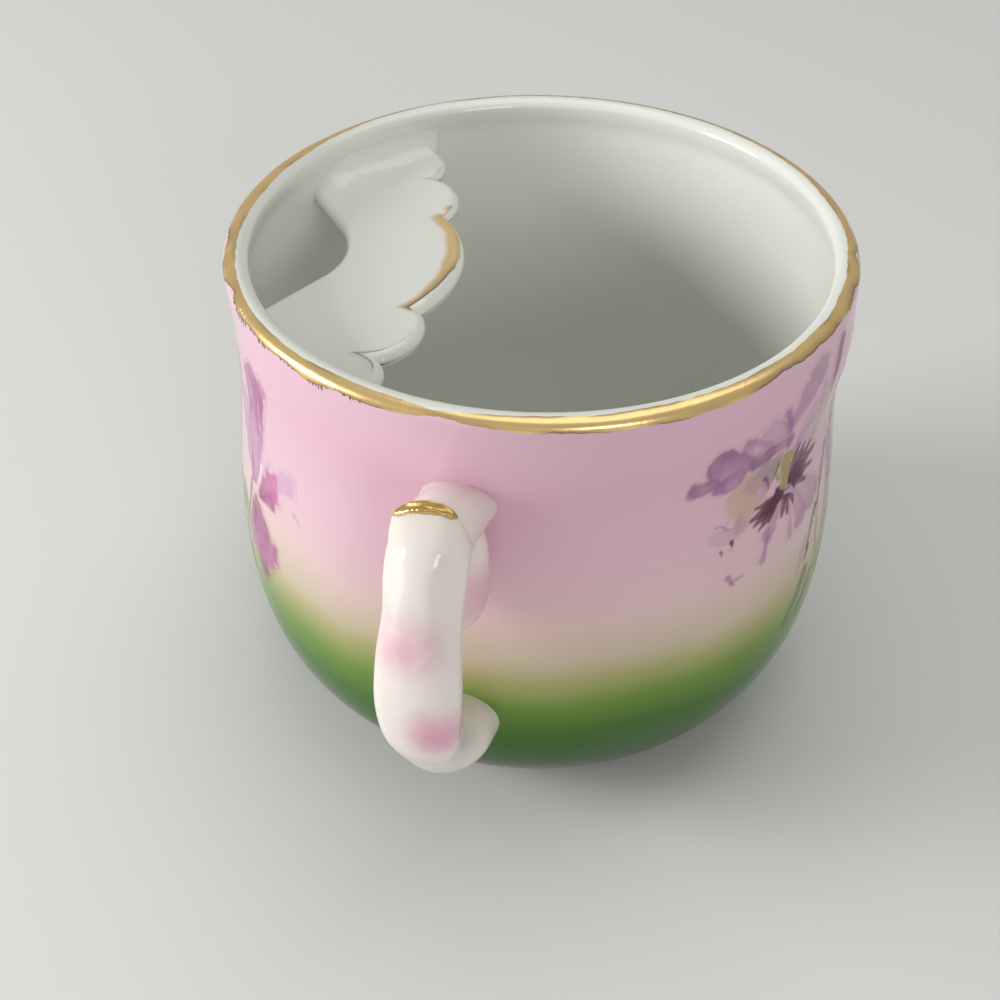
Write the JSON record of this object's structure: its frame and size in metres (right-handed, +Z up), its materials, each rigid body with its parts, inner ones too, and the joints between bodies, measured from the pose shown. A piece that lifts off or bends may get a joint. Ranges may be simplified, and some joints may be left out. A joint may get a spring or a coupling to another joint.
{
  "type": "moustache cup",
  "caption": "Bellied porcelain cup with a scroll handle, a gilt rim, flower sprays and a scalloped guard inside the lip that keeps a moustache dry.",
  "frame": {"origin": "centre of the foot ring, on the surface that the cup stands on", "axes": "+X from the cup's axis towards the handle, +Z up along the cup's axis"},
  "size_m": [0.1226, 0.102, 0.086],
  "materials": {
    "glazed_porcelain": "gloss glaze",
    "bare_porcelain": "unglazed, ground flat",
    "white_porcelain": "gloss glaze",
    "tinted_porcelain": "gloss glaze",
    "rim_gilt": "worn fired gilding",
    "guard_gilt": "worn fired gilding",
    "crest_gilt": "worn fired gilding",
    "right_transfer": "fired transfer print",
    "left_transfer": "fired transfer print"
  },
  "bodies": {
    "root": {"bowl": "glazed_porcelain", "foot_ring": "bare_porcelain", "moustache_guard": "white_porcelain", "handle": "tinted_porcelain", "rim_gilding": "rim_gilt", "guard_gilding": "guard_gilt", "crest_gilding": "crest_gilt", "right_spray": "right_transfer", "left_spray": "left_transfer"}
  },
  "joints": []
}
